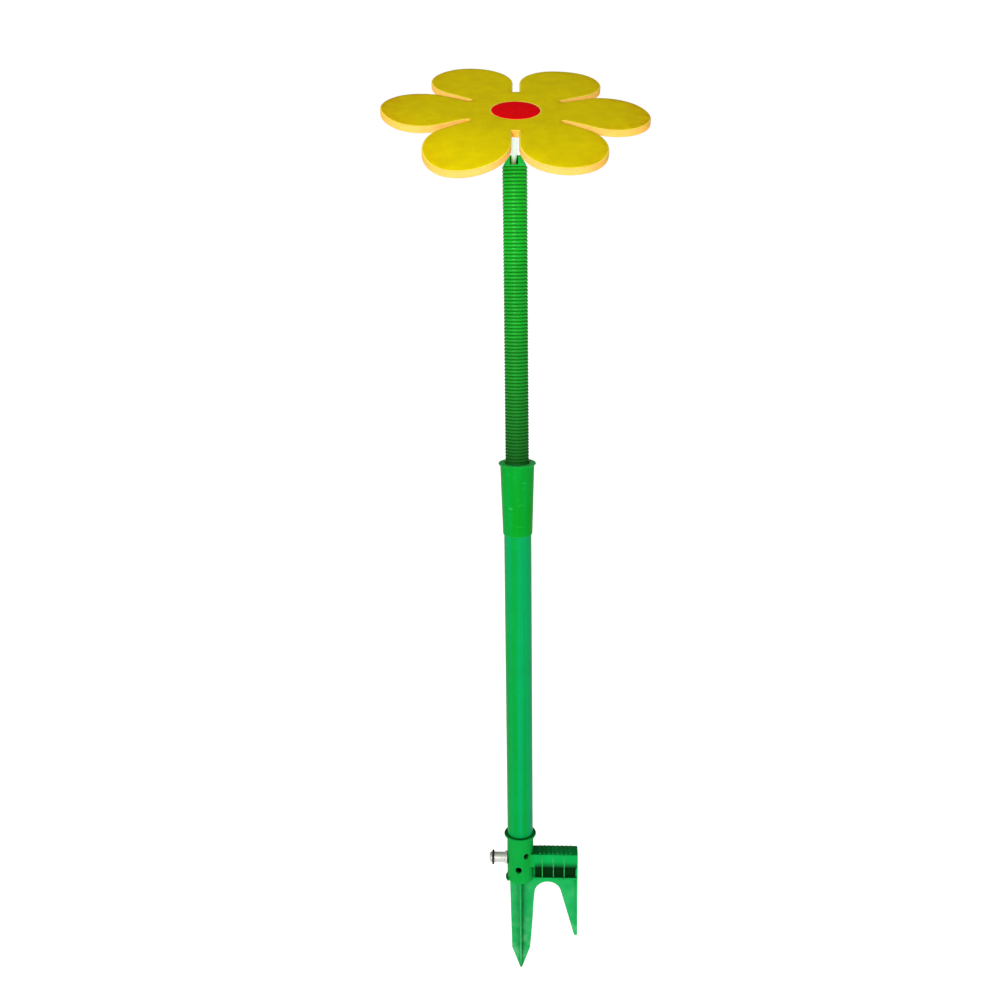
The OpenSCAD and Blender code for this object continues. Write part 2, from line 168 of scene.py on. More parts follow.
def socket(node, name):
    """The socket of that name that is in use. A mix node has one for each kind of data."""
    return next(s for s in node.inputs if s.name == name and s.enabled)


class Shader:
    """A small helper that adds and joins shader nodes."""

    def __init__(self, name):
        self.material = bpy.data.materials.new(name)
        self.material.use_nodes = True
        self.tree = self.material.node_tree
        self.tree.nodes.clear()
        self.output = self.add("ShaderNodeOutputMaterial")
        self.bsdf = self.add("ShaderNodeBsdfPrincipled")
        self.join(self.bsdf.outputs["BSDF"], self.output.inputs["Surface"])
        coordinates = self.add("ShaderNodeTexCoord")
        self.place, self.facing = coordinates.outputs["Object"], coordinates.outputs["Normal"]

    def add(self, kind, **settings):
        node = self.tree.nodes.new(kind)
        for key, value in settings.items():
            setattr(node, key, value)
        return node

    def join(self, a, b):
        self.tree.links.new(a, b)

    def noise(self, size, detail=3.0, stretch=(1, 1, 1)):
        """Noise whose features are about size metres wide, drawn out along an axis by stretch below 1."""
        mapping = self.add("ShaderNodeMapping")
        mapping.inputs["Scale"].default_value = stretch
        self.join(self.place, mapping.inputs["Vector"])
        tex = self.add("ShaderNodeTexNoise")
        tex.inputs["Scale"].default_value = 1 / size
        tex.inputs["Detail"].default_value = detail
        self.join(mapping.outputs["Vector"], tex.inputs["Vector"])
        return tex.outputs["Fac"]

    def cells(self, size):
        """Rounded cells about size metres wide: 0 at their middles."""
        tex = self.add("ShaderNodeTexVoronoi")
        tex.inputs["Scale"].default_value = 1 / size
        self.join(self.place, tex.inputs["Vector"])
        return tex.outputs["Distance"]

    def ramp(self, value, low, high, to_low=0.0, to_high=1.0):
        """Turns the range from low to high into that from to_low to to_high, and holds it beyond."""
        node = self.add("ShaderNodeMapRange")
        for key, number in (("From Min", low), ("From Max", high), ("To Min", to_low), ("To Max", to_high)):
            node.inputs[key].default_value = number
        self.join(value, node.inputs["Value"])
        return node.outputs["Result"]

    def mix(self, factor, a, b):
        """Colour a where factor is 0 and b where it is 1. Either may be a colour or a socket."""
        node = self.add("ShaderNodeMix", data_type="RGBA")
        for name, value in (("A", a), ("B", b)):
            if isinstance(value, tuple):
                socket(node, name).default_value = (*value, 1)
            else:
                self.join(value, socket(node, name))
        self.join(factor, socket(node, "Factor"))
        return next(s for s in node.outputs if s.enabled)

    def math(self, operation, a, b):
        node = self.add("ShaderNodeMath", operation=operation)
        for slot, value in zip(node.inputs, (a, b)):
            if isinstance(value, (int, float)):
                slot.default_value = value
            else:
                self.join(value, slot)
        return node.outputs["Value"]

    def attribute(self, name):
        return self.add("ShaderNodeAttribute", attribute_name=name).outputs["Fac"]

    def closeness(self, distance, inside=False):
        """1 in the open, falling to 0 where surfaces within that distance close in on a point. With inside
        it looks into the material, so it falls on the edges that stand out."""
        node = self.add("ShaderNodeAmbientOcclusion", samples=8, inside=inside)
        node.inputs["Distance"].default_value = distance
        return node.outputs["AO"]

    def edges(self):
        """1 on edges that stand out, where plastic wears pale, and 0 elsewhere."""
        return self.ramp(self.closeness(0.8 * MM, inside=True), 0.9, 0.45)

    def split(self, vector):
        """A vector's x, y and z."""
        node = self.add("ShaderNodeSeparateXYZ")
        self.join(vector, node.inputs["Vector"])
        return tuple(node.outputs)

    def feed(self, name, value):
        """Joins a value to one of the main shader's sockets."""
        self.join(value, self.bsdf.inputs[name])

    def base(self):
        """What feeds the base colour so far."""
        return self.bsdf.inputs["Base Color"].links[0].from_socket

    def set(self, **values):
        """Sets plain values on the main shader's own sockets."""
        for key, value in values.items():
            self.bsdf.inputs[key.replace("_", " ")].default_value = value

    def bump(self, height, distance, strength=1.0):
        """Adds a bump of that depth in metres on top of the ones added before."""
        node = self.add("ShaderNodeBump")
        node.inputs["Distance"].default_value = distance
        node.inputs["Strength"].default_value = strength
        self.join(height, node.inputs["Height"])
        normal = self.bsdf.inputs["Normal"]
        if normal.is_linked:
            self.join(normal.links[0].from_socket, node.inputs["Normal"])
        self.join(node.outputs["Normal"], normal)


def scaled(colour, factor):
    """A colour made lighter or darker."""
    return tuple(min(1.0, c * factor) for c in colour)


def plastic(name, colour, roughness, streak=None, grain=0.4 * MM, wear=0.0, shine=0.03):
    """Moulded or drawn plastic: cloudy colour, fine grain, pale worn edges, and draw lines and bands if
    streak gives how far the noise is stretched along each axis."""
    s = Shader(name)
    cloudy = s.mix(s.ramp(s.noise(22 * MM), 0.35, 0.68), scaled(colour, 0.9), scaled(colour, 1.07))
    speck = s.ramp(s.noise(1.1 * MM, 2), 0.62, 0.75, 0, 0.3)
    cloudy = s.mix(speck, cloudy, scaled(colour, 0.72))
    if streak:
        lines = s.ramp(s.noise(1.6 * MM, 2, streak), 0.35, 0.7, 0, 0.28)
        cloudy = s.mix(lines, cloudy, scaled(colour, 1.25))
        red, green, blue = colour
        leafy = (red, 0.9 * green, 0.35 * blue)
        bluish = (red, 1.02 * green, 1.7 * blue)
        bands = s.mix(s.ramp(s.noise(9 * MM, 1, streak), 0.4, 0.6), leafy, bluish)
        cloudy = s.mix(s.ramp(s.noise(40 * MM, 1), 0.3, 0.6, 0.4, 0.7), cloudy, bands)
    pale = tuple(1.15 * c + 0.06 for c in colour)
    if wear:
        cloudy = s.mix(s.math("MULTIPLY", s.edges(), wear), cloudy, pale)
    s.feed("Base Color", cloudy)
    s.feed("Roughness", s.ramp(s.noise(9 * MM, 4), 0.3, 0.7, roughness - 0.06, roughness + 0.08))
    s.set(Specular_IOR_Level=shine)
    if grain:
        s.bump(s.noise(grain, 2), 0.015 * MM)
    if streak:
        s.bump(s.noise(1.2 * MM, 2, streak), 0.03 * MM)
    return s


def build_materials():
    """The materials by the record's slots, and one more for the foam's cut side."""
    m = {}
    m["stake_green"] = stake_plastic()
    m["tube_green"] = plastic("tube_plastic", (0.0, 0.265, 0.055), 0.36, streak=(1, 1, 0.012)).material
    m["collar_green"] = collar_plastic()
    m["plug_green"] = plastic("plug_plastic", (0.01, 0.55, 0.11), 0.3, wear=0.3).material
    m["corrugated_green"] = corrugated_plastic()
    m["soft_hose"] = milky_hose()
    m["white_plastic"] = plastic("white_plastic", (0.72, 0.75, 0.71), 0.35).material
    m["nipple_grey"] = satin_metal("nipple_metal", (0.47, 0.475, 0.43), 0.5, 0.35)
    m["clamp_steel"] = satin_metal("clamp_steel", (0.5, 0.52, 0.53), 0.25, 0.8)
    m["seal_rubber"] = seal_rubber()
    m["foam_yellow"] = foam("foam_yellow", (0.84, 0.68, 0.0), (0.70, 0.30, 0.0), warmth=0.9, pores=0.5)
    # The cut side's up-facing parts get painted light: a paler yellow
    cut, warm, painted_top_light = (0.84, 0.46, 0.11), (0.95, 0.44, 0.0), (1.0, 0.88, 0.1)
    m["foam_cut"] = foam("foam_cut_side", cut, warm, warmth=0.65, pores=1.0, painted_top_light=painted_top_light)
    m["foam_red"] = foam("foam_red", (0.96, 0.0, 0.003), (0.6, 0.0, 0.0), warmth=0.0, pores=0.5)
    return m


def collar_plastic():
    """Drawn plastic, scuffed here and there, pale on its edges, and lighter on the rim's level top with painted
    light.
    """
    s = plastic("collar_plastic", (0.0, 0.25, 0.018), 0.4, streak=(1, 1, 0.05), wear=0.8)
    # Painted light: faces that look up, such as the rim's top, get a lighter green
    painted_rim_light = s.ramp(s.split(s.facing)[2], 0.5, 0.9, 0.0, 0.8)
    scuff = s.ramp(s.noise(5 * MM, 4, (0.4, 0.4, 1.6)), 0.66, 0.72, 0.0, 0.35)
    scuff_and_painted_light = s.math("MAXIMUM", painted_rim_light, scuff)
    s.feed("Base Color", s.mix(scuff_and_painted_light, s.base(), (0.03, 0.55, 0.11)))
    return s.material


# Where the stake's painted shade lies, in the stake's own coordinates: the step begins at the hub, and its pockets
# end inside the second prong's flange
HUB_SIDE = 17 * MM
FLANGE_FACE = 71.2 * MM
APRON_LOW = 22.5 * MM
APRON_FADE = 30 * MM
APRON_HALF = 11.25 * MM
POCKET_FLOOR = 3.1 * MM
SPIKE_RUBBED = -45 * MM


def stake_painted_shade(s, x, y, z):
    """How dark the stake's painted shade is at a place: on its level faces, in its corners, down the step's
    aprons and in the pockets between them and the web."""
    # Painted shade: the level faces, the corners, the aprons' lower part and the pockets are darkened as if shaded
    aside = s.math("ABSOLUTE", y, 0.0)
    level = s.ramp(s.split(s.facing)[2], 0.5, 0.9)
    level = s.math("MULTIPLY", level, s.ramp(x, HUB_SIDE + 3 * MM, HUB_SIDE + 28 * MM, 0.76, 0.45))
    corner = s.ramp(s.closeness(14 * MM), 0.85, 0.35, 0.0, 0.7)
    step = s.ramp(x, HUB_SIDE, HUB_SIDE + 2 * MM)
    step = s.math("MULTIPLY", step, s.ramp(x, FLANGE_FACE + 0.4 * MM, FLANGE_FACE - 0.4 * MM))
    apron = s.math("MULTIPLY", step, s.ramp(z, APRON_FADE, APRON_LOW, 0.0, 0.86))
    apron = s.math("MULTIPLY", apron, s.ramp(aside, APRON_HALF + 0.15 * MM, APRON_HALF - 0.15 * MM))
    apron = s.math("MULTIPLY", apron, s.ramp(z, APRON_LOW - 2.5 * MM, APRON_LOW - 1 * MM))
    pocket = s.math("MULTIPLY", step, s.ramp(z, POCKET_FLOOR - 0.5 * MM, POCKET_FLOOR + 0.5 * MM))
    pocket = s.math("MULTIPLY", pocket, s.ramp(z, APRON_LOW + 2.5 * MM, APRON_LOW - 2.5 * MM))
    pocket = s.math("MULTIPLY", pocket, s.ramp(aside, 8 * MM, 6.4 * MM))
    patchy = s.ramp(s.noise(7 * MM, 3), 0.25, 0.6, 0.8, 1.0)
    painted_shade = s.math("MULTIPLY", s.math("MAXIMUM", level, corner), patchy)
    return s.math("MAXIMUM", s.math("MAXIMUM", painted_shade, apron), s.math("MULTIPLY", pocket, 0.98))


def stake_plastic():
    """Tough moulded plastic: deeper green on the hub as painted shade, paler below it as painted light,
    rubbed on the blades that go into the soil, and dark with painted shade on its level faces and hollows."""
    s = plastic("stake_plastic", (0.002, 0.3, 0.056), 0.45, grain=0.7 * MM, wear=0.7, shine=0.02)
    x, y, z = s.split(s.place)
    # Painted shade: the hub is a deeper green than the rest of the stake
    painted_hub_shade = s.ramp(z, -1 * MM, 0.5 * MM, 0.0, 0.6)
    painted_hub_shade = s.math("MULTIPLY", painted_hub_shade, s.ramp(x, HUB_SIDE + 0.5 * MM, HUB_SIDE - 1 * MM))
    tone = s.mix(painted_hub_shade, s.base(), (0.002, 0.235, 0.02))
    # Painted light: below the hub the stake is paler
    pale = s.mix(s.ramp(s.noise(16 * MM), 0.35, 0.65), (0.008, 0.28, 0.07), (0.024, 0.345, 0.095))
    tone = s.mix(s.ramp(z, 3 * MM, -12 * MM, 0.0, 0.8), tone, pale)
    rubbed = s.ramp(z, SPIKE_RUBBED, SPIKE_RUBBED - 40 * MM)
    rubbed = s.math("MULTIPLY", rubbed, s.ramp(s.noise(13 * MM, 3), 0.48, 0.66, 0.0, 0.6))
    tone = s.mix(rubbed, tone, (0.09, 0.44, 0.17))
    # Painted shade: near-black green on the level faces, in the corners, down the step's aprons and in the pockets
    s.feed("Base Color", s.mix(stake_painted_shade(s, x, y, z), tone, (0.0005, 0.016, 0.001)))
    return s.material


def corrugated_plastic():
    """Green hose with a soft sheen; painted shade darkens it in its grooves and towards the collar, both duller
    too.
    """
    colour = (0.001, 0.34, 0.012)
    roughness = 0.32
    s = plastic("corrugated_plastic", colour, roughness, grain=0, shine=0.15)
    groove = s.attribute("groove")
    # Painted shade: the grooves are darkened
    painted_groove_shade = s.math("MULTIPLY", s.ramp(s.noise(5 * MM, 3), 0.3, 0.7, 0.7, 0.95), groove)
    shaded = s.mix(painted_groove_shade, s.base(), scaled(colour, 0.2))
    z = s.split(s.place)[2]
    # Painted shade: the hose grows darker towards the collar
    low = s.ramp(z, bend_heights[0] - 15 * MM, bend_heights[0] + 260 * MM, 1.0, 0.0)
    low = s.math("MULTIPLY", s.math("POWER", low, 1.6), 0.87)
    s.feed("Base Color", s.mix(low, shaded, scaled(colour, 0.1)))
    dull = s.math("MAXIMUM", s.ramp(groove, 0.0, 0.5, 0.0, 0.5), s.math("MULTIPLY", low, 0.4))
    s.feed("Roughness", s.math("ADD", dull, roughness))
    return s.material


def milky_hose():
    """Milky soft hose that lets a little light through."""
    s = Shader("milky_hose")
    tone = s.mix(s.noise(12 * MM), (0.64, 0.82, 0.88), (0.78, 0.92, 0.97))
    s.feed("Base Color", tone)
    s.feed("Roughness", s.ramp(s.noise(4 * MM), 0.3, 0.7, 0.2, 0.34))
    s.set(Subsurface_Weight=0.35, Subsurface_Radius=(0.004, 0.005, 0.004))
    s.set(Coat_Weight=0.3, Coat_Roughness=0.2)
    s.bump(s.noise(1.5 * MM, 2, (1, 1, 0.03)), 0.03 * MM)
    return s.material


def satin_metal(name, colour, roughness, metallic):
    """Cast and lightly polished metal with fine turning lines."""
    s = Shader(name)
    tone = s.mix(s.ramp(s.noise(3 * MM, 4), 0.3, 0.7), scaled(colour, 0.82), scaled(colour, 1.1))
    s.feed("Base Color", s.mix(s.math("MULTIPLY", s.edges(), 0.4), tone, (0.8, 0.8, 0.78)))
    lines = s.noise(1 * MM, 3, (0.05, 1, 1))
    s.feed("Roughness", s.ramp(lines, 0.3, 0.7, roughness - 0.08, roughness + 0.1))
    s.set(Metallic=metallic)
    s.bump(s.noise(0.5 * MM, 2), 0.02 * MM)
    return s.material


def seal_rubber():
    """Black rubber, a little mottled."""
    s = Shader("seal_rubber")
    s.feed("Base Color", s.mix(s.noise(1.5 * MM), (0.006, 0.006, 0.006), (0.022, 0.022, 0.021)))
    s.feed("Roughness", s.ramp(s.noise(2 * MM), 0.3, 0.7, 0.4, 0.6))
    s.set(Specular_IOR_Level=0.1)
    s.bump(s.noise(0.3 * MM, 2), 0.02 * MM)
    return s.material


def foam(name, colour, tint, warmth, pores, painted_top_light=None):
    """Closed-cell foam: small cells, mottled colour, and a tint towards the rim, up to warmth. Faces that
    look up get a paler colour of painted light, if one is given."""
    cell_size = 1.3 * MM
    s = Shader(name)
    mottle = s.ramp(s.noise(14 * MM, 4), 0.35, 0.7)
    tone = s.mix(mottle, scaled(colour, 0.93), scaled(colour, 1.05))
    patchy = s.ramp(s.noise(9 * MM, 3), 0.35, 0.6, 0.3 * warmth, warmth)
    tone = s.mix(s.math("MULTIPLY", s.attribute("rim"), patchy), tone, tint)
    # Painted light: faces that look up are paler
    if painted_top_light:
        tone = s.mix(s.ramp(s.split(s.facing)[2], 0.25, 0.7), tone, painted_top_light)
    cell = s.ramp(s.cells(cell_size), 0.25, 0.7, 0, 0.35 * pores)
    tone = s.mix(cell, tone, scaled(colour, 0.7))
    s.feed("Base Color", tone)
    s.feed("Roughness", s.ramp(s.noise(6 * MM), 0.3, 0.7, 0.72, 0.88))
    s.set(Specular_IOR_Level=0.04)
    s.bump(s.cells(cell_size), 0.12 * MM * pores)
    s.bump(s.noise(0.5 * MM, 3), 0.06 * MM)
    s.bump(s.noise(7 * MM, 2), 0.25 * MM)
    return s.material


materials = build_materials()


def dress_cad():
    """Gives each CAD node the material of its slot."""
    for row in frame["record"]["subparts"]:
        mesh = nodes[row["node"]].data
        mesh.materials.clear()
        mesh.materials.append(materials[row["material_slot"]])


def close_slot(bm):
    """Draws the right-hand wall of the end plug's slot in towards the soft hose."""
    plug_front, slot_half, slot_back = -11 * MM, 5 * MM, 0.5 * MM
    closes = 1 * MM
    front = [v.co for v in bm.verts if v.co.y < plug_front and v.co.z > neck_point.z]
    wall = max(p.x for p in front if abs(p.x) < slot_half)
    for v in bm.verts:
        if abs(v.co.x - wall) < 0.02 * MM and v.co.y < slot_back:
            v.co.x -= closes


def soften_edges(node, width, reshape=None):
    """Puts a copy with rounded edges in the place of a CAD node with sharp ones, after reshaping it if a
    function for that is given."""
    bm = bmesh.new()
    bm.from_mesh(nodes[node].data)
    bmesh.ops.remove_doubles(bm, verts=bm.verts, dist=1e-6)
    if reshape:
        reshape(bm)
    bmesh.ops.dissolve_limit(bm, angle_limit=math.radians(0.5), verts=bm.verts, edges=bm.edges)
    sharp = [e for e in bm.edges if e.calc_face_angle(0) > math.radians(32)]
    bmesh.ops.bevel(
        bm, geom=sharp, offset=width, segments=2, profile=0.5, affect="EDGES", clamp_overlap=False
    )
    for face in bm.faces:
        face.smooth = True
    mesh = bpy.data.meshes.new(f"{node}_soft")
    bm.to_mesh(mesh)
    bm.free()
    mesh.set_sharp_from_angle(angle=math.radians(40))
    row = next(r for r in frame["record"]["subparts"] if r["node"] == node)
    obj = add_object(f"{node}_soft", mesh, materials[row["material_slot"]])
    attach(obj, bodies[node])
    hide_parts(node)


# ---- Hoses ----

RIB_PITCH = 3.8 * MM
RIB_STEPS = 10
BORE_STEPS = 20
SOFT_SIDES = 40
RIB_DEPTH = 0.9 * MM
# How much narrower than the crests the grooves are
GROOVE_POWER = 2.4
rib_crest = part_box("hose_segment_1")[1].x
hose_bore = rib_crest - 2.3 * MM


def rib_radius(height):
    """Radius of the corrugated skin at a height: round crests and narrow grooves."""
    phase = (height - bend_heights[0]) / RIB_PITCH
    swell = 0.5 + 0.5 * math.cos(TAU * phase)
    return rib_crest - RIB_DEPTH * (1 - swell) ** GROOVE_POWER


def corrugated_skin(k, low, high):
    """Stretch k of the corrugated skin, a closed wall from low to high."""
    steps = round((high - low) / RIB_PITCH * RIB_STEPS)
    heights = [low + (high - low) * i / steps for i in range(steps + 1)]
    outer = [(rib_radius(z), z) for z in heights]
    # The bore has rings of its own, evenly spaced from the top down to the bottom
    inner = [(hose_bore, high + (low - high) * i / BORE_STEPS) for i in range(BORE_STEPS + 1)]
    top = len(outer) - 1
    mesh = turned_mesh(f"hose_skin_{k}", outer + inner, sharp=(0, top, top + 1, top + 1 + BORE_STEPS))
    groove = mesh.attributes.new("groove", "FLOAT", "POINT")
    for i, v in enumerate(mesh.vertices):
        depth = (rib_crest - v.co.xy.length) / RIB_DEPTH
        groove.data[i].value = min(1.0, max(0.0, depth))
    return add_object(f"hose_skin_{k}", mesh, materials["corrugated_green"])


def plain_skin(k, low, high, radius, bore):
    """Stretch k of the soft inner hose."""
    steps = 12
    heights = [low + (high - low) * i / steps for i in range(steps + 1)]
    outer = [(radius, z) for z in heights]
    inner = [(bore, z) for z in reversed(heights)]
    crisp = (0, steps, steps + 1, 2 * steps + 1)
    mesh = turned_mesh(f"inner_skin_{k}", outer + inner, SOFT_SIDES, sharp=crisp)
    return add_object(f"inner_skin_{k}", mesh, materials["soft_hose"])


def bend_with(obj):
    """Bakes a skin's placement into its mesh."""
    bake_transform(obj)


def build_hoses():
    """The corrugated hose and the soft one inside it, a stretch of each to every bend, and the neck."""
    inner_low, inner_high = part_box("inner_hose_0")
    radius = inner_high.x
    bore = radius - 1 * MM
    hose_start, hose_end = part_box("hose_segment_0")[0].z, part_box("hose_segment_8")[1].z
    count = len(HOSE_BENDS)
    edges = [z - half_step for z in bend_heights] + [bend_heights[-1] + half_step]
    for k in range(count + 1):
        low = hose_start if k == 0 else edges[k - 1]
        high = hose_end if k == count else edges[k]
        skin = corrugated_skin(k, low, high)
        soft = plain_skin(k, inner_low.z if k == 0 else edges[k - 1], edges[k], radius, bore)
        stretches = ((skin, "hose_segment", "corrugated_green"), (soft, "inner_hose", "soft_hose"))
        for obj, node, slot in stretches:
            if k == 0:
                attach(obj, "stake")
            else:
                bend_with(obj)
            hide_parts(f"{node}_{k}")
    build_neck(edges[-1], radius, bore)


def rest_against_plug(rise):
    """How the soft hose lies over to the left in its hole, at a height above the neck's bend."""
    reach = 26 * MM
    lean = 1.3 * MM
    share = max(0.0, 1 - (rise / reach) ** 2)
    return Vector((-lean * share**2, 0, 0))


def build_neck(start, radius, bore):
    """The top of the inner hose: up out of the corrugated hose and over to the nozzle in one soft bend."""
    bend = 9 * MM
    path = [(Vector((0, 0, start)), Vector((0, 0, 1)))]
    first = neck_point - Vector((0, 0, bend))
    last = neck_point + bend * neck_axis
    steps = 10
    for i in range(steps + 1):
        t = i / steps
        point = (1 - t) ** 2 * first + 2 * t * (1 - t) * neck_point + t**2 * last
        along = ((1 - t) * (neck_point - first) + t * (last - neck_point)).normalized()
        path.append((point, along))
    end = neck_point + nozzle_low * neck_axis
    straight_steps = 6
    for i in range(1, straight_steps + 1):
        path.append((last.lerp(end, i / straight_steps), neck_axis))
    path = [(p + rest_against_plug(p.z - neck_point.z), along) for p, along in path]
    rings = []
    side = Vector((1, 0, 0))
    for sign, wall in ((1, radius), (-1, bore)):
        for point, along in path[::sign]:
            forward = along.cross(side).normalized()
            across = forward.cross(along).normalized()
            rings.append(ring_points(point, across, forward, wall, SOFT_SIDES))
    n = len(path)
    mesh = shell_mesh("neck_skin", rings, sharp=(0, n - 1, n, 2 * n - 1))
    obj = add_object("neck_skin", mesh, materials["soft_hose"])
    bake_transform(obj)
    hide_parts("neck_tube")


# ---- Flower ----

PETALS = 6
FLOWER_TURN = math.radians(2)
SLOT = 7.5 * MM
# Width of each slot's inner end: the side ones have closed up a little, the back and front ones haven't
SLOT_ENDS = [4.5 * MM, SLOT, 4.5 * MM, 4.5 * MM, SLOT, 4.5 * MM]
DISC_RADIUS = 55 * MM
EDGE_ROUND = 1.3 * MM
DROOP_START = 40 * MM
# How far each petal's tip hangs, counted from the right-hand one towards the back
DROOPS = [4.6 * MM, 1.6 * MM, -0.7 * MM, -2.2 * MM, 14.4 * MM, 9.3 * MM]


def petal_outline():
    """The flower's outline, counter-clockwise: points about 2 mm apart, with their outward directions."""
    half = math.pi / PETALS
    tip_radius = (petal_tip * math.sin(half) - SLOT / 2) / (1 + math.sin(half))
    tip_centre = petal_tip - tip_radius
    slot_end = math.sqrt(DISC_RADIUS**2 - (SLOT / 2) ** 2)
    side = tip_centre * math.cos(half)
    corner = 1.2 * MM
    begin = slot_end + corner
    points = []
    for p in range(PETALS):
        middle = FLOWER_TURN + p * TAU / PETALS
        spin = Matrix.Rotation(middle, 2)
        # up the petal's right-hand side, round its tip and down its left-hand side
        for sign in (-1, 1):
            ray = Vector((math.cos(half), sign * math.sin(half)))
            inward = Vector((math.sin(half), -sign * math.cos(half)))
            steps = 18
            flank = []
            width = SLOT_ENDS[p if sign > 0 else p - 1]
            for i in range(steps):
                t = i / steps
                offset = (width + (SLOT - width) * t) / 2
                flank.append((ray * (begin + (side - begin) * t) + inward * offset, -inward))
            arc = []
            if sign < 0:
                arc_steps = 62
                for i in range(arc_steps + 1):
                    a = (math.pi + 2 * half) * (i / arc_steps - 0.5)
                    out = Vector((math.cos(a), math.sin(a)))
                    arc.append((Vector((tip_centre, 0)) + tip_radius * out, out))
                chunk = flank + arc
            else:
                chunk = flank[::-1]
            points += [(spin @ p2, spin @ n2) for p2, n2 in chunk]
        # the slot's end, with two small rounded corners
        slot_angle = middle + half
        spin = Matrix.Rotation(slot_angle, 2)
        for sign in (-1, 1):
            centre = Vector((slot_end + corner, sign * (SLOT_ENDS[p] / 2 - corner)))
            for i in range(1, 4):
                a = math.pi / 2 * i / 4
                turn = a if sign < 0 else math.pi / 2 - a
                out = Vector((-math.sin(turn), sign * math.cos(turn)))
                points.append((spin @ (centre + corner * out), spin @ -out))
    return points


def droop(x, y):
    """How far the foam hangs below its flat shape at a place, smooth from petal to petal."""
    radius = math.hypot(x, y)
    if radius <= DROOP_START:
        return 0.0
    angle = (math.atan2(y, x) - FLOWER_TURN) % TAU / (TAU / PETALS)
    low = int(angle) % PETALS
    t = angle - int(angle)
    t = t * t * (3 - 2 * t)
    amount = DROOPS[low] * (1 - t) + DROOPS[(low + 1) % PETALS] * t
    return amount * ((radius - DROOP_START) / (petal_tip - DROOP_START)) ** 2


def foam_point(x, y, z):
    """A point of the neck's frame in the shared one, after the foam has hung, with its slight waviness."""
    wave = 0.35 * MM * noise.noise(Vector((x, y, 0)) / (32 * MM))
    return neck_frame @ Vector((x, y, z + wave - droop(x, y)))


def fill_between(outer, holes, spacing, keep):
    """Points and faces of a flat region inside outer and outside the holes, with inner points added."""
    loops = [outer] + holes
    points = [Vector(p) for loop in loops for p in loop]
    edges = []
    start = 0
    for loop in loops:
        n = len(loop)
        edges += [(start + i, start + (i + 1) % n) for i in range(n)]
        start += n
    # every other row is shifted by half a step, which makes near-even triangles
    rows = int(petal_tip / spacing)
    for i in range(-rows, rows + 1):
        for j in range(-rows, rows + 1):
            p = Vector(((i + 0.5 * (j % 2)) * spacing, j * spacing * 0.87))
            if keep(p):
                points.append(p)
    out = geometry.delaunay_2d_cdt(points, edges, [], 0, 1e-7)
    verts, faces = out[0], out[2]
    inside = []
    for f in faces:
        middle = sum((verts[i] for i in f), Vector((0, 0))) / len(f)
        if inside_loop(middle, outer) and not any(inside_loop(middle, h) for h in holes):
            inside.append(f)
    return verts, inside


def inside_loop(p, loop):
    """True if p is inside a closed loop of points."""
    hit = False
    for a, b in zip(loop, loop[1:] + loop[:1]):
        if (a[1] > p[1]) != (b[1] > p[1]) and p[0] < (b[0] - a[0]) * (p[1] - a[1]) / (b[1] - a[1]) + a[0]:
            hit = not hit
    return hit


def warm_rim(p, edge):
    """How much of the warm tint the foam has at a place: most at the outer ends of the side petals, and
    some in the slots' ends. The edge is a list of outline points with their outward directions."""
    middle = DISC_RADIUS + 4 * MM
    if p.length < middle:
        slot_end = min((p - q).length for q, out in edge if q.length < middle)
        return math.exp(-slot_end / (2 * MM))
    near, out = min((((p - q).length, out) for q, out in edge), key=lambda row: row[0])
    side = min(1.0, max(0.0, (abs(p.x) - 0.35 * petal_tip) / (0.5 * petal_tip)))
    outward = max(0.0, 0.3 + 0.7 * out.dot(p.normalized()))
    return math.exp(-near / (13 * MM)) * (0.15 + 0.85 * side) * outward


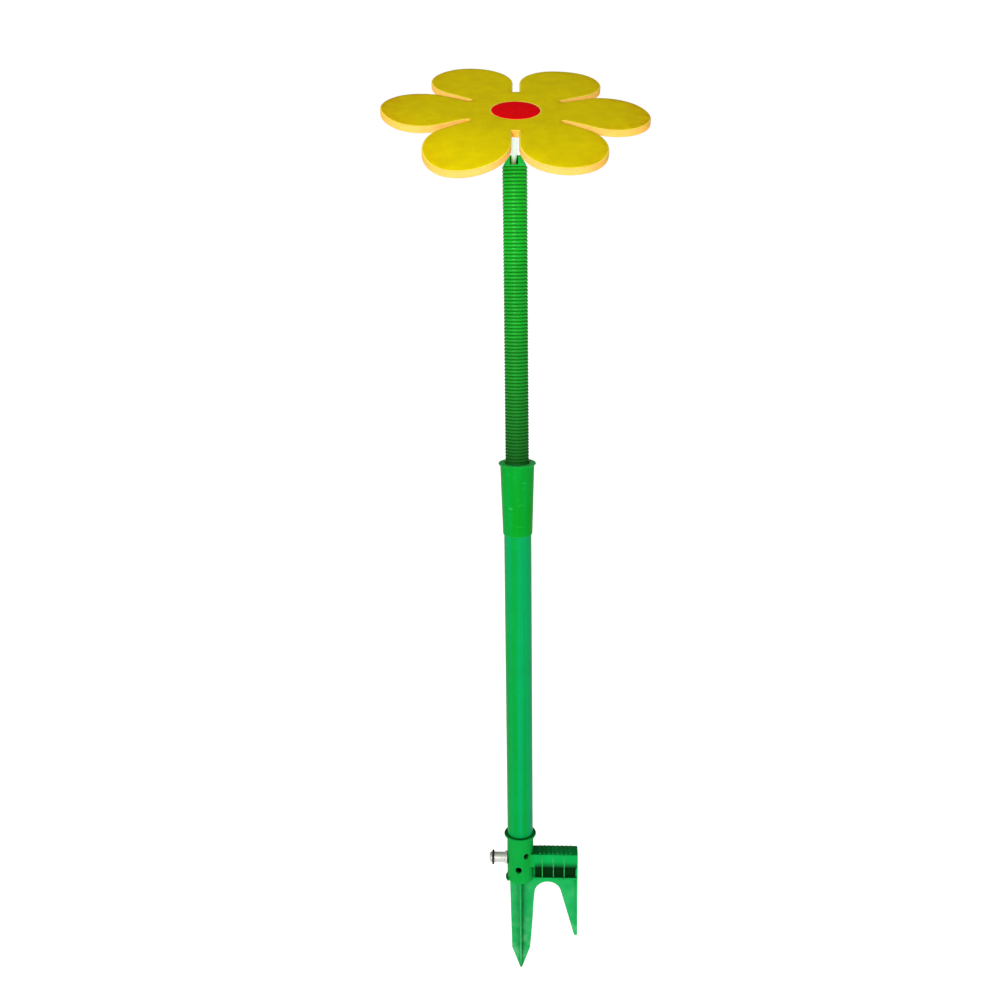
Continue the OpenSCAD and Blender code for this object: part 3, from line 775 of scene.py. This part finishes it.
def build_flower():
    """The foam flower: top and bottom skins, a cut side with rounded edges, and a stepped hole."""
    outline = petal_outline()
    thickness = foam_high - foam_low
    recess = centre_low
    room = 10 * MM
    room_low = foam_high - 5.5 * MM
    bore = 7 * MM
    yellow, cut = 0, 1
    bm = bmesh.new()
    made = {}

    def vert(x, y, z):
        key = (round(x, 7), round(y, 7), round(z, 7))
        if key not in made:
            made[key] = bm.verts.new((x, y, z))
        return made[key]

    def loop_at(inset, z):
        return [(p - n * inset).to_tuple() + (z,) for p, n in outline]

    def circle(radius, z, count=96):
        turns = [TAU * i / count for i in range(count)]
        return [(radius * math.cos(a), radius * math.sin(a), z) for a in turns]

    def wall(a, b, material):
        for i in range(len(a)):
            j = (i + 1) % len(a)
            face = bm.faces.new([vert(*a[i]), vert(*a[j]), vert(*b[j]), vert(*b[i])])
            face.material_index = material
            face.smooth = True

    def skin(outer, holes, z, material):
        flat = [p[:2] for p in outer]
        inner = [[p[:2] for p in h] for h in holes]
        hole = max((math.hypot(*h[0]) for h in inner), default=0)
        margin = 2.6 * MM

        def keep(p):
            if p.length < hole + margin or not inside_loop(p, flat):
                return False
            return min((p - Vector(q)).length for q in flat[::2]) > margin

        verts, faces = fill_between(flat, inner, 5 * MM, keep)
        for f in faces:
            face = bm.faces.new([vert(verts[i].x, verts[i].y, z) for i in f])
            face.material_index = material
            face.smooth = True

    e = EDGE_ROUND
    turns = [math.pi / 2 * i / 3 for i in range(4)]
    quarter = [(e * (1 - math.sin(a)), e * (1 - math.cos(a))) for a in turns]
    # from the bottom skin's edge out round the cut side and in to the top skin's edge
    side = [loop_at(inset, foam_low + rise) for inset, rise in quarter]
    side += [loop_at(0, foam_low + thickness * 0.5)]
    side += [loop_at(inset, foam_high - rise) for inset, rise in reversed(quarter)]
    for a, b in zip(side, side[1:]):
        wall(a, b, cut)
    # in from the top skin over a lip, pale with painted light, and down through the hole's steps to the bottom
    # skin
    lip = 1.5 * MM
    play = 0.1 * MM
    mouth = [circle(centre_radius + lip, foam_high), circle(centre_radius + play, foam_high - play)]
    mouth += [circle(centre_radius + play, recess), circle(room, recess), circle(room, room_low)]
    mouth += [circle(bore, room_low), circle(bore, foam_low)]
    for i, (a, b) in enumerate(zip(mouth, mouth[1:])):
        wall(a, b, cut if i == 0 else yellow)
    skin(side[-1], [mouth[0]], foam_high, yellow)
    skin(side[0], [mouth[-1]], foam_low, yellow)
    bmesh.ops.recalc_face_normals(bm, faces=bm.faces)
    rims = {}
    edge = [(Vector(p), Vector(n)) for p, n in outline][::2]
    for v in bm.verts:
        rims[v] = warm_rim(v.co.xy, edge)
        v.co = foam_point(*v.co)
    bm.verts.index_update()
    values = [rims[v] for v in bm.verts]
    mesh = bpy.data.meshes.new("foam_flower")
    bm.to_mesh(mesh)
    bm.free()
    mesh.set_sharp_from_angle(angle=math.radians(40))
    rim = mesh.attributes.new("rim", "FLOAT", "POINT")
    rim.data.foreach_set("value", values)
    obj = add_object("foam_flower", mesh, materials["foam_yellow"])
    mesh.materials.append(materials["foam_cut"])
    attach(obj, "flower")
    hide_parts("flower_petals")


def build_flower_centre():
    """The red centre: a thin disc of foam, a little crowned, with a soft edge."""
    crown = 0.42 * MM
    chamfer = 0.4 * MM
    edge = 0.8 * MM
    top = centre_high
    profile = [(centre_radius - chamfer, centre_low), (centre_radius, centre_low + chamfer)]
    for degrees in range(0, 100, 20):
        a = math.radians(degrees)
        profile.append((centre_radius - edge * (1 - math.cos(a)), top - edge * (1 - math.sin(a))))
    for share in (0.9, 0.75, 0.6, 0.45, 0.3, 0.15, 0.05):
        profile.append((centre_radius * share, top + crown * (1 - share**2)))
    mesh = turned_mesh("flower_centre_pad", profile, 96, closed=False)
    mesh.transform(neck_frame)
    obj = add_object("flower_centre_pad", mesh, materials["foam_red"], "flower")
    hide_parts("flower_centre")


# ---- Stage, lights and camera ----

SURROUND = 0.33
OVERHEAD = 0.30


def build_floor():
    """A plain pale floor just under the spike's tip."""
    s = Shader("pale_floor")
    s.set(Base_Color=(0.5, 0.5, 0.5, 1), Roughness=1.0, Specular_IOR_Level=0.0)
    s.set(Emission_Color=(1, 1, 1, 1), Emission_Strength=1.0)
    mesh = bpy.data.meshes.new("floor")
    size = 30
    z = cad_low.z - 1 * MM
    corners = [(-size, -size, z), (size, -size, z), (size, size, z), (-size, size, z)]
    mesh.from_pydata(corners, [], [(0, 1, 2, 3)])
    add_object("floor", mesh, s.material)


def build_world():
    """Studio surround: even light, a little dimmer overhead, and plain white where the camera sees it."""
    world = bpy.data.worlds.new("studio")
    scene.world = world
    world.use_nodes = True
    tree = world.node_tree
    tree.nodes.clear()

    def add(kind, **inputs):
        node = tree.nodes.new(kind)
        for key, value in inputs.items():
            node.inputs[key.replace("_", " ")].default_value = value
        return node

    place = add("ShaderNodeTexCoord")
    split = add("ShaderNodeSeparateXYZ")
    tree.links.new(place.outputs["Generated"], split.inputs["Vector"])
    fall = add("ShaderNodeMapRange", From_Min=0.12, From_Max=0.75, To_Min=SURROUND, To_Max=OVERHEAD)
    tree.links.new(split.outputs["Z"], fall.inputs["Value"])
    glow = add("ShaderNodeBackground", Color=(1, 1, 1, 1))
    tree.links.new(fall.outputs["Result"], glow.inputs["Strength"])
    white = add("ShaderNodeBackground", Color=(1, 1, 1, 1), Strength=1.0)
    seen = tree.nodes.new("ShaderNodeLightPath")
    choice = tree.nodes.new("ShaderNodeMixShader")
    tree.links.new(seen.outputs["Is Camera Ray"], choice.inputs[0])
    tree.links.new(glow.outputs["Background"], choice.inputs[1])
    tree.links.new(white.outputs["Background"], choice.inputs[2])
    out = tree.nodes.new("ShaderNodeOutputWorld")
    tree.links.new(choice.outputs[0], out.inputs["Surface"])


def area_light(name, place, target, size, power):
    """A round soft light of that width in metres and power in watts."""
    data = bpy.data.lights.new(name, "AREA")
    data.shape = "DISK"
    data.size = size
    data.energy = power
    light = bpy.data.objects.new(name, data)
    scene.collection.objects.link(light)
    light.location = place
    light.rotation_euler = (Vector(target) - Vector(place)).to_track_quat("-Z", "Y").to_euler()


def build_camera():
    """The photograph's viewpoint: in front, a little below the flower and looking down at the stem."""
    data = bpy.data.cameras.new("camera")
    camera = bpy.data.objects.new("camera", data)
    scene.collection.objects.link(camera)
    data.sensor_width = 36
    data.lens = 41.368
    data.clip_end = 200
    yaw, pitch, roll = math.radians(2.593), math.radians(-16.106), math.radians(-0.709)
    turn = (
        Matrix.Rotation(yaw, 4, "Z")
        @ Matrix.Rotation(math.pi / 2 + pitch, 4, "X")
        @ Matrix.Rotation(roll, 4, "Z")
    )
    place = (0.03812, -1.27566, 0.86851)
    camera.matrix_world = Matrix.Translation(place) @ turn
    scene.camera = camera


dress_cad()
soften_edges("ground_stake", 0.25 * MM)
soften_edges("hose_end_plug", 0.2 * MM, close_slot)
build_hoses()
build_flower()
build_flower_centre()
build_floor()
build_world()
area_light("key", place=(-0.6, -2.5, 0.95), target=(0, 0, 0.5), size=0.8, power=58)
area_light("fill", place=(1.5, -1.8, 0.3), target=(0, 0, 0.45), size=1.0, power=6)
build_camera()
scene.view_settings.view_transform = "Standard"
